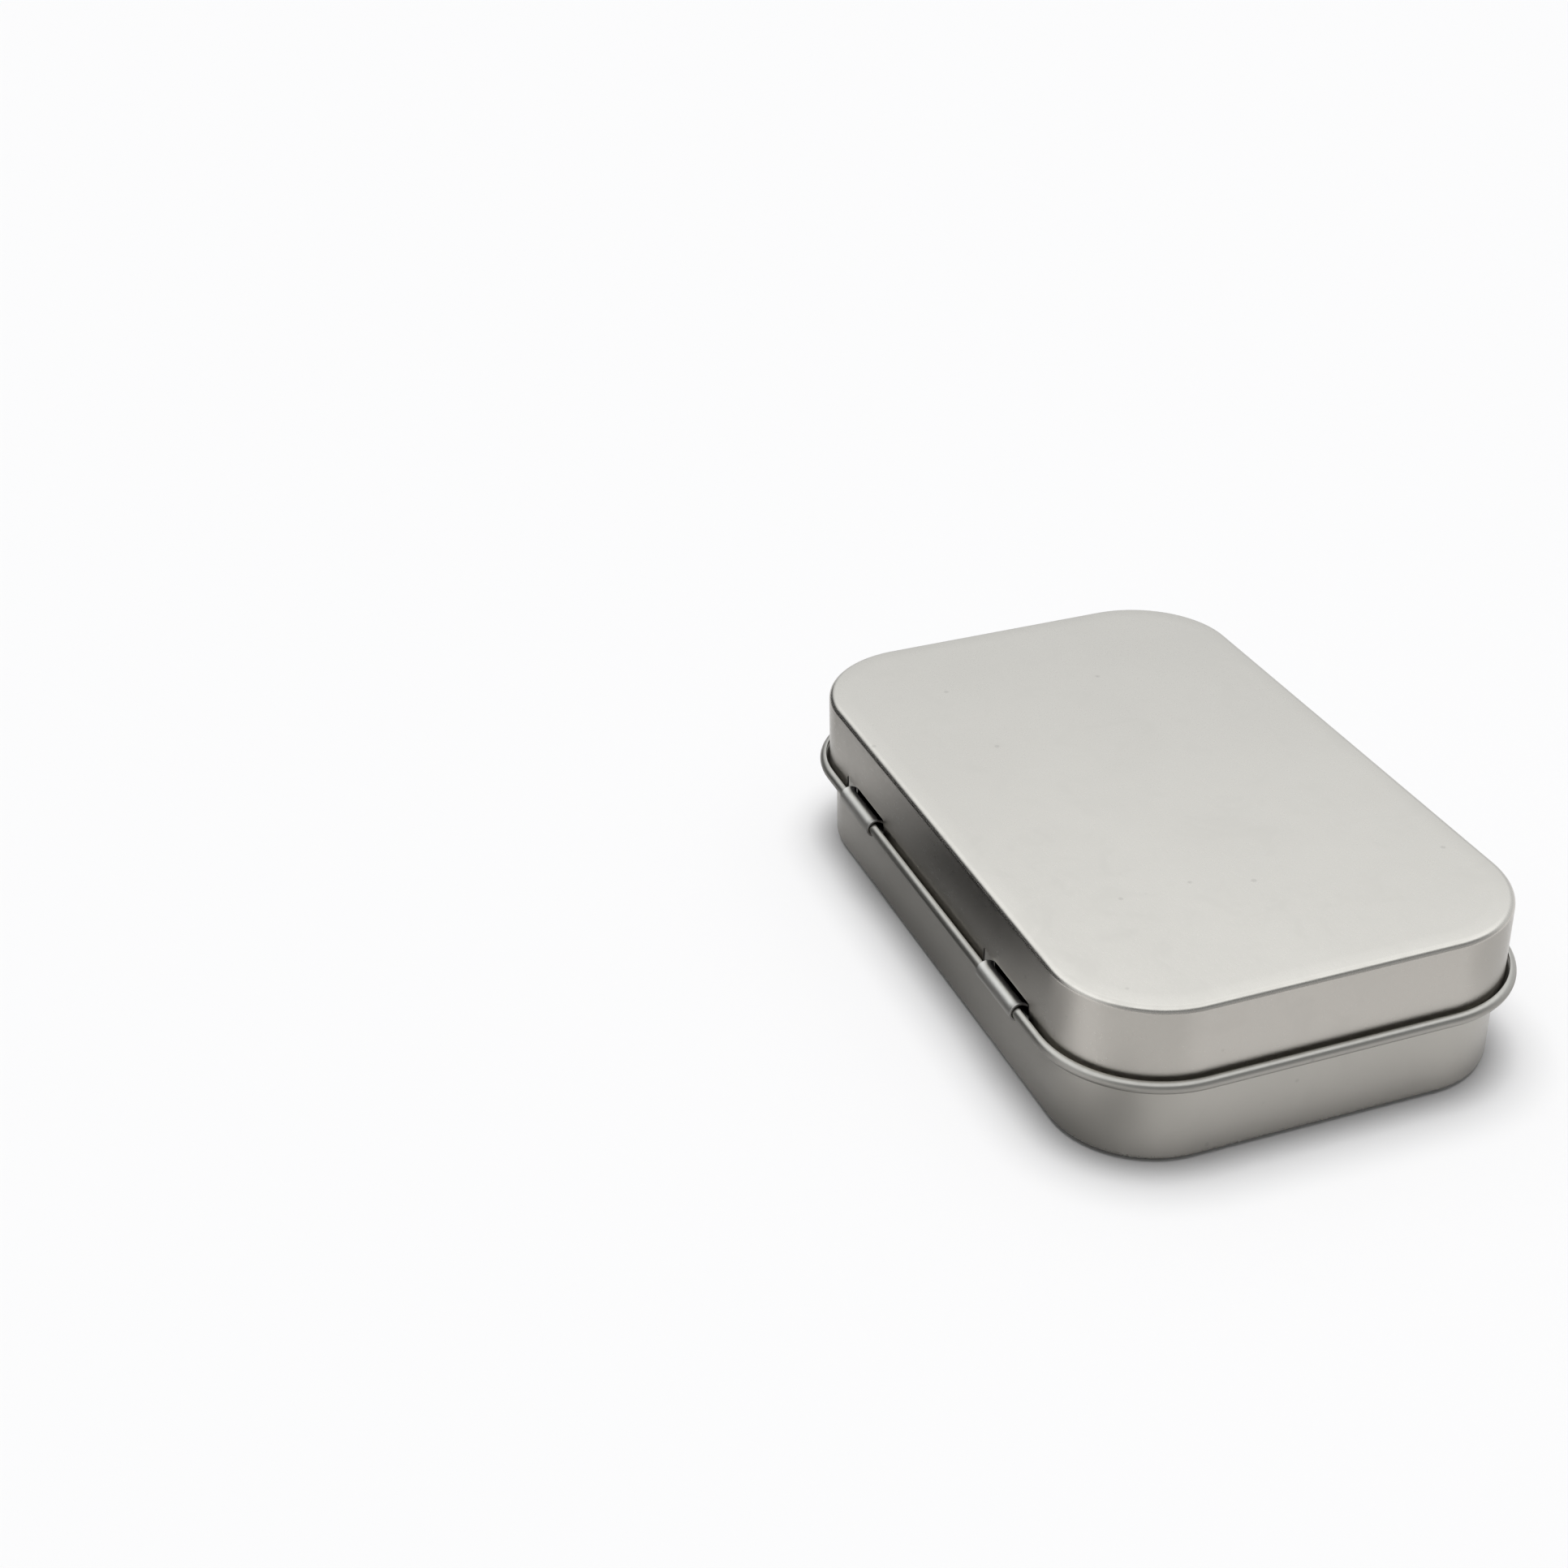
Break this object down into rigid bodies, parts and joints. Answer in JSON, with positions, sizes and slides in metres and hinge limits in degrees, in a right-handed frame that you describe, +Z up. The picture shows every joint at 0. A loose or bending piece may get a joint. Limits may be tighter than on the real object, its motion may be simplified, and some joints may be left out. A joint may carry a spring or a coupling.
{
  "type": "hinged mint tin",
  "caption": "Flat pocket tin with rounded corners, a drawn base, a lid with a rolled edge bead, and lanced hinge tabs that let the lid swing open.",
  "frame": {"origin": "on the table under the middle of the closed tin, hinge tabs and bead included", "axes": "+X along the hinge, +Y from the front to the hinge, +Z up; the front of the tin faces -Y"},
  "size_m": [0.095, 0.0622, 0.0221],
  "materials": {
    "base_tinplate": "satin tinplate, very fine even grain",
    "tab_tinplate": "satin tinplate, rubbed brighter where it is rolled",
    "lid_tinplate": "satin tinplate, very fine even grain",
    "bead_tinplate": "bare tinplate, rubbed brighter along its crest"
  },
  "bodies": {
    "base": {"base_tray": "base_tinplate", "base_rim_hem": "base_tinplate", "hinge_tab_left": "tab_tinplate", "hinge_tab_right": "tab_tinplate"},
    "lid": {"lid_cover": "lid_tinplate", "lid_bead": "bead_tinplate"}
  },
  "joints": [
    {"name": "lid_hinge", "type": "hinge", "parent": "base", "child": "lid", "pos_m": [0, 0.02993, 0.0119], "axis": [-1, 0, 0], "range_deg": [0, 110]}
  ]
}
